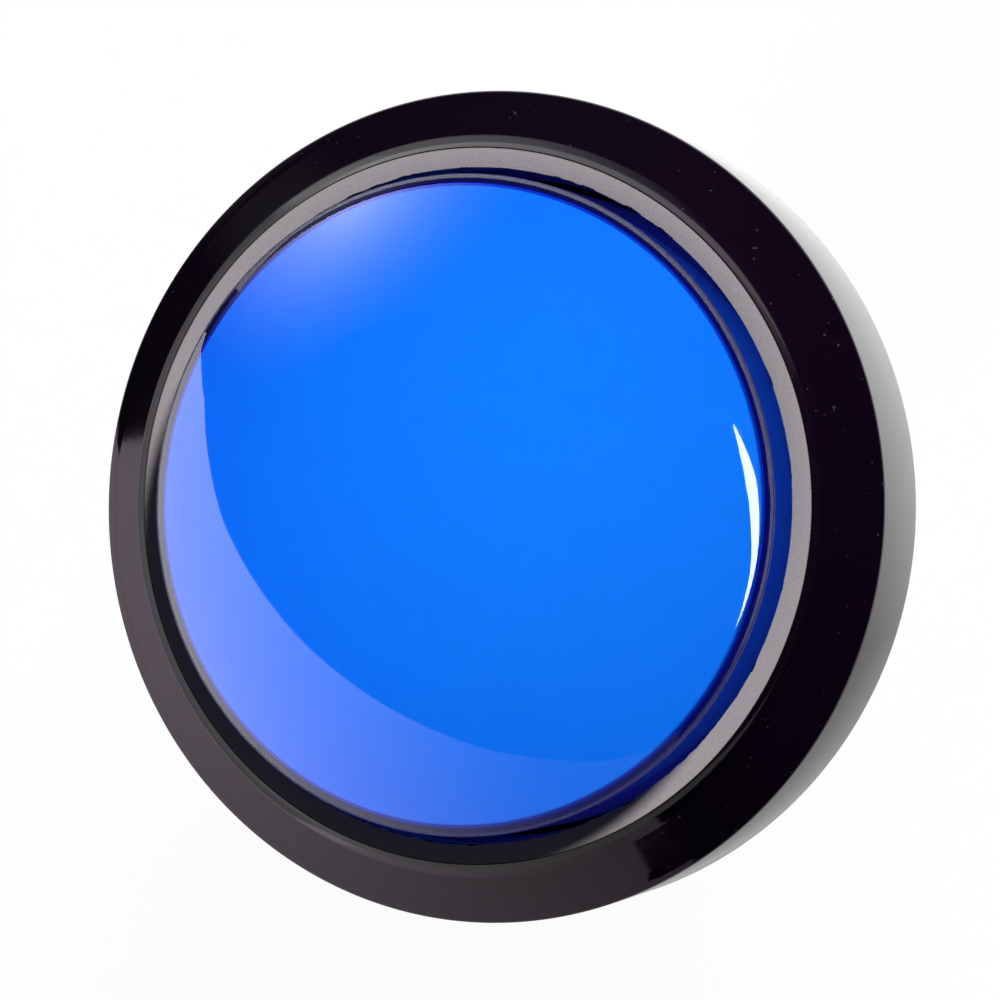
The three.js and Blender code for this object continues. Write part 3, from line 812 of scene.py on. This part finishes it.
def tip_cutters(left, right, end, y, size=0.9):
    """Two wedges that bevel the corners of a tab's tip."""
    over, half = 0.5, 1.2
    cutters = []
    for x, way in ((left, 1), (right, -1)):
        verts = []
        for depth in (y - half, y + half):
            verts += [(x - way * over, depth, end - over),
                      (x + way * (size + over), depth, end - over),
                      (x - way * over, depth, end + size * 1.5 + 0.8)]
        faces = [(0, 1, 2), (3, 5, 4), (0, 3, 4, 1), (1, 4, 5, 2), (2, 5, 3, 0)]
        cutters.append(new_piece("tool", verts, faces))
    return cutters


def make_switch():
    """The switch's two mouldings, its lever, pin and blade, and its three terminals."""
    black = plastic("switch_black", (0.014, 0.014, 0.016), 0.5, 2200, 0.3, 0.5)
    pieces = []
    for node in ("switch_case", "switch_cover"):
        pieces.append(settle(softened(node, 0.22, node + "_moulding"), "housing", node,
                             black))
    steel = metal("lever_steel", (0.66, 0.66, 0.67), (0.48, 0.48, 0.47), 0.24, (0.05, 1, 1))
    pieces.append(settle(softened("switch_lever", 0.1, "switch_lever_strip"), "lever",
                         "switch_lever", steel))
    red = plastic("pin_red", (0.55, 0.03, 0.02), 0.35, 1300, 0.1)
    pieces.append(settle(softened("switch_pin", 0.18, "switch_pin_moulding"), "pin",
                         "switch_pin", red))
    copper = metal("blade_copper", (0.86, 0.50, 0.30), (0.55, 0.27, 0.14), 0.28, (0.05, 1, 1))
    pieces.append(settle(softened("switch_blade", 0.06, "switch_blade_leaf"), "blade",
                         "switch_blade", copper))
    brass = metal("terminal_brass", (0.82, 0.64, 0.30), (0.48, 0.33, 0.14), 0.3)
    tab_width, tab_y, hole_r, hole_up = 4.8, 2.9, 0.8, 2.9
    for node, left in (("common_terminal", -6.2), ("open_terminal", 1.0),
                       ("closed_terminal", 8.2)):
        low, _ = span(node)
        piece = softened(node, 0.1, node + "_blade")
        hole = cross_rod(hole_r, tab_y - 1.4, tab_y + 1.6, left + tab_width / 2,
                         low.z + hole_up, 24)
        tips = tip_cutters(left, left + tab_width, low.z, tab_y)
        combine(piece, [hole] + tips, "DIFFERENCE", 50)
        pieces.append(settle(piece, "housing", node, brass))
    return pieces


# ---- camera --------------------------------------------------------------------------------

VIEW_SIDE = math.radians(20.9)      # the camera stands this far round to +X of the push axis
VIEW_LIFT = math.radians(1.0)       # and this far below it
VIEW_DISTANCE = 360.5               # from the flange's front edge, along the view
VIEW_CENTRE = (-2.8, -0.7)          # where that edge's centre stands in the view
FOCAL_WIDTHS = 2.997                # the focal length, in widths of the sensor
SENSOR = 36.0


def view_axes():
    """The row frame's x, y and z as the camera sees them, as a matrix from camera to row."""
    push = Vector((-math.sin(VIEW_SIDE) * math.cos(VIEW_LIFT), math.sin(VIEW_LIFT),
                   math.cos(VIEW_SIDE) * math.cos(VIEW_LIFT)))
    y_axis = (Vector((0, 1, 0)) - push * push.y).normalized()
    return Matrix((y_axis.cross(push), y_axis, push))


def make_camera():
    to_row = view_axes()
    data = bpy.data.cameras.new("camera")
    data.lens = FOCAL_WIDTHS * SENSOR
    data.sensor_width = SENSOR
    data.clip_start = 0.01
    camera = bpy.data.objects.new("camera", data)
    place = Vector((0, 0, RIM_Z)) - to_row @ Vector((*VIEW_CENTRE, -VIEW_DISTANCE))
    camera.matrix_world = Matrix.Translation(place * MM) @ to_row.to_4x4()
    scene.collection.objects.link(camera)
    scene.camera = camera
    return place


# ---- stage: floor, reflected cards and light ------------------------------------------------

CARD_DISTANCE = 800.0               # from the flange's centre, in millimetres
LIGHT_DISTANCE = 1.2                # in metres


def lit_only(light, pieces, blockers=()):
    """Lets a light or a card reach some pieces only, and be shaded by the blockers only."""
    group = bpy.data.collections.new(light.name + "_receivers")
    for piece in pieces:
        group.objects.link(piece)
    light.light_linking.receiver_collection = group
    if blockers:
        group = bpy.data.collections.new(light.name + "_blockers")
        for piece in blockers:
            group.objects.link(piece)
        light.light_linking.blocker_collection = group


def card(name, rows, strength, pieces, colour=(1, 0.985, 0.99, 1)):
    """A glowing sheet, mirrored in the pieces, through rows of directions from the flange."""
    centre = Vector((0, 0, RIM_Z))
    width = len(rows[0])
    verts = [centre + way * CARD_DISTANCE for row in rows for way in row]
    faces = []
    for i in range(len(rows) - 1):
        for k in range(width - 1):
            a = i * width + k
            faces.append((a, a + 1, a + width + 1, a + width))
    sheet = new_piece(name, verts, faces)
    look = Look(name + "_light")
    tree = look.tree
    tree.nodes.remove(look.shader)
    glow = look.add("ShaderNodeEmission", Color=colour)
    look.feed(glow.inputs["Strength"], strength(look) if callable(strength) else strength)
    clear = look.add("ShaderNodeBsdfTransparent")
    both = look.add("ShaderNodeAddShader")
    tree.links.new(glow.outputs[0], both.inputs[0])
    tree.links.new(clear.outputs[0], both.inputs[1])
    tree.links.new(both.outputs[0], tree.nodes["Material Output"].inputs["Surface"])
    sheet.data.materials.append(look.material)
    sheet.visible_camera = False
    sheet.visible_diffuse = False
    sheet.visible_shadow = False
    lit_only(sheet, pieces)


# Where the bright reflection at the lower left ends, in the dome and in the flange's slope, as
# azimuths and elevations in degrees.
DOME_BOUNCE = [(157, 4), (165, 13), (182, 23), (206, 35), (230, 41), (255, 42), (281, 39),
               (302, 36)]
SLOPE_BOUNCE = [(158, -2), (173, 9), (176, 17), (196, 25), (218, 34), (243, 39.5), (266, 40),
                (273.6, 39.5), (273.9, 36.0), (276, 35.9), (279, 36.6), (282, 37.2), (284, 35),
                (286, 15)]


def direction(azimuth, elevation):
    """A unit vector from its azimuth about the push axis and its elevation, in degrees."""
    a, e = math.radians(azimuth), math.radians(elevation)
    return Vector((math.cos(a) * math.cos(e), math.sin(a) * math.cos(e), math.sin(e)))


def bounce_card(name, edge, left_glow, right_glow, curve, pieces, colour):
    """A wide white card low on the left, bright at the left and dimmer towards the bottom."""
    steps = 6
    ways = []
    for start, end in zip(edge, edge[1:]):
        ways += [direction(*start).slerp(direction(*end), t / steps) for t in range(steps)]
    ways.append(direction(*edge[-1]))
    rows = []
    for way in ways:
        foot = Vector((way.x, way.y, -0.05)).normalized()
        rows.append([way.slerp(foot, k / steps) for k in range(steps + 1)])

    def glow(look):
        x, _, _ = look.parts()
        left = look.math("POWER", look.between(x, 0, 1, 0.1, -0.75), curve)
        return look.between(left, right_glow, left_glow)

    card(name, rows, glow, pieces, colour)


def dome_way(radius, degrees, eye):
    """The direction, from the flange's centre, of the card's place that the camera sees mirrored
    in the dome at a radius and an azimuth."""
    a = math.radians(degrees)
    out = Vector((radius * math.cos(a), radius * math.sin(a), math.sqrt(BALL_R ** 2 - radius ** 2)))
    normal = out.normalized()
    place = out + Vector((0, 0, BALL_Z))
    view = (eye - place).normalized()
    ray = 2 * normal.dot(view) * normal - view
    start = place - Vector((0, 0, RIM_Z))
    along = start.dot(ray)
    reach = math.sqrt(along ** 2 - start.length_squared + CARD_DISTANCE ** 2) - along
    return (start + ray * reach) / CARD_DISTANCE


def edge_card(eye, lens):
    """A thin bright strip high on the right, seen as a crescent by the dome's right edge."""
    steps, across = 24, 4
    rows = []
    for k in range(steps + 1):
        t = k / steps
        azimuth = -22 + 37 * t
        depth = 1.35 * math.sin(math.pi * t) ** 0.8 + 0.02
        outer = 38.0 - 1.9 * t + 1.3 * math.sin(math.pi * t ** 0.8)
        rows.append([dome_way(min(outer, EDGE_R + 0.3) - depth * j / across, azimuth, eye)
                     for j in range(across + 1)])
    card("edge_card", rows, 22.0, [lens])


def rim_card(lens):
    """A low pale band round the back, seen along the lens's rounded edge."""
    rows = [[direction(azimuth, elevation) for elevation in (-4, 0, 4, 8)]
            for azimuth in range(5, 151, 5)]
    card("rim_card", rows, 1.7, [lens])


def top_card(eye, lens):
    """A faint glow high at the back, seen as a soft patch near the dome's top edge."""
    steps, across = 24, 10
    rows = []
    for k in range(steps + 1):
        azimuth = 62 + 92 * k / steps
        rows.append([dome_way(22 + 16.3 * j / across, azimuth, eye) for j in range(across + 1)])

    def glow(look):
        middle = Vector((0, 0, RIM_Z)) + dome_way(38.5, 109, eye) * CARD_DISTANCE
        away = look.add("ShaderNodeVectorMath")
        away.operation = "DISTANCE"
        look.feed(away.inputs[0], look.where)
        away.inputs[1].default_value = middle * MM
        near = look.between(away.outputs["Value"], 1, 0, 0.04, 0.46)
        return look.math("MULTIPLY", look.math("POWER", near, 2.4), 5.0)

    card("top_card", rows, glow, [lens])


def make_floor():
    low = cad_box[0][2] / MM - 0.5
    size = 3000.0
    floor = new_piece("floor", [(-size, -size, low), (size, -size, low), (size, size, low),
                                (-size, size, low)], [(0, 1, 2, 3)])
    look = Look("floor_paper", Roughness=0.9)
    fibre = look.noise(260, 4.0)
    look.set(Base_Color=look.mix(fibre, (0.115, 0.115, 0.115), (0.13, 0.13, 0.13)))
    # Painted light: the floor glows by itself, evenly to the camera and dimmer to diffuse rays, and
    # in reflections it glows brighter towards its lit side (+x, +y).
    look.shader.inputs["Emission Color"].default_value = (1, 1, 1, 1)
    x, y, _ = look.parts()
    lit_side = look.math("ADD", look.math("MULTIPLY", x, 0.6), look.math("MULTIPLY", y, 0.8))
    reach = 0.07
    mirrored = look.between(lit_side, 0.47, 1.45, 0.2 * reach, reach)
    path = look.add("ShaderNodeLightPath")
    glossy = path.outputs["Is Glossy Ray"]
    diffuse = path.outputs["Is Diffuse Ray"]
    plain = look.math("MULTIPLY", look.math("SUBTRACT", 1.0, glossy),
                      look.between(diffuse, 0.93, 0.25))
    look.set(Emission_Strength=look.math("ADD", plain, look.math("MULTIPLY", glossy, mirrored)))
    floor.data.materials.append(look.material)
    return floor


def make_world():
    """White to the camera. In reflections, a pale horizon under a dark ceiling."""
    world = bpy.data.worlds.new("studio")
    scene.world = world
    world.use_nodes = True
    tree = world.node_tree
    back = tree.nodes["Background"]
    path = tree.nodes.new("ShaderNodeLightPath")
    way = tree.nodes.new("ShaderNodeTexCoord")
    split = tree.nodes.new("ShaderNodeSeparateXYZ")
    tree.links.new(way.outputs["Generated"], split.inputs[0])
    both = tree.nodes.new("ShaderNodeMath")
    both.operation = "MULTIPLY"
    horizon, behind = (0.10, 0.32, 1.2, 0.03), (0.45, 0.85, 0.02, 1.0)
    for axis, numbers, socket in (("Z", horizon, both.inputs[0]), ("Y", behind, both.inputs[1])):
        ranged = tree.nodes.new("ShaderNodeMapRange")
        for place, number in zip(ranged.inputs[1:5], numbers):
            place.default_value = number
        tree.links.new(split.outputs[axis], ranged.inputs["Value"])
        tree.links.new(ranged.outputs["Result"], socket)
    choose = tree.nodes.new("ShaderNodeMix")
    choose.inputs["A"].default_value = 0.09
    tree.links.new(path.outputs["Is Glossy Ray"], choose.inputs["Factor"])
    tree.links.new(both.outputs["Value"], choose.inputs["B"])
    camera = tree.nodes.new("ShaderNodeMix")
    camera.inputs["B"].default_value = 1.0
    tree.links.new(path.outputs["Is Camera Ray"], camera.inputs["Factor"])
    tree.links.new(choose.outputs["Result"], camera.inputs["A"])
    tree.links.new(camera.outputs["Result"], back.inputs["Strength"])
    back.inputs["Color"].default_value = (1, 1, 1, 1)


def soft_light(name, azimuth, elevation, size, strength, pieces, blockers=()):
    """A soft square light on some pieces, which shows in no reflection."""
    data = bpy.data.lights.new(name, "AREA")
    data.size = size
    data.energy = strength * size * size * math.pi
    lamp = bpy.data.objects.new(name, data)
    way = direction(azimuth, elevation)
    lamp.location = way * LIGHT_DISTANCE
    lamp.rotation_euler = way.to_track_quat("Z", "Y").to_euler()
    lamp.visible_camera = False
    lamp.visible_glossy = False
    lamp.visible_transmission = False
    scene.collection.objects.link(lamp)
    lit_only(lamp, pieces, blockers)


camera_place = make_camera()
floor = make_floor()
make_world()
bezel = make_bezel()
lens = make_lens()
diffuser = make_diffuser()
others = [floor, make_gasket(), make_nut(), make_plunger(), make_spring(), make_holder()]
others += make_lamp() + make_switch()

bounce_card("dome_bounce", DOME_BOUNCE, 3.2, 0.25, 1.7, [lens], (1, 0.99, 1, 1))
bounce_card("slope_bounce", SLOPE_BOUNCE, 1.6, 0.6, 1.0, [bezel] + others[1:],
            (1, 0.80, 0.96, 1))
edge_card(camera_place, lens)
top_card(camera_place, lens)
rim_card(lens)
soft_light("key_light", 55, 28, 0.25, 385, [bezel])
soft_light("dome_light", 104, 68, 0.9, 9.2, [diffuser], [bezel])
soft_light("skirt_light", 10, 4, 0.6, 6.0, [diffuser], [floor])
soft_light("skirt_light_low", -110, 4, 0.6, 5.0, [diffuser], [floor])
soft_light("work_light", 60, 35, 0.6, 8, others)
soft_light("back_light", 235, 15, 0.7, 5, others)

scene.view_settings.view_transform = "Standard"
scene.cycles.use_denoising = True
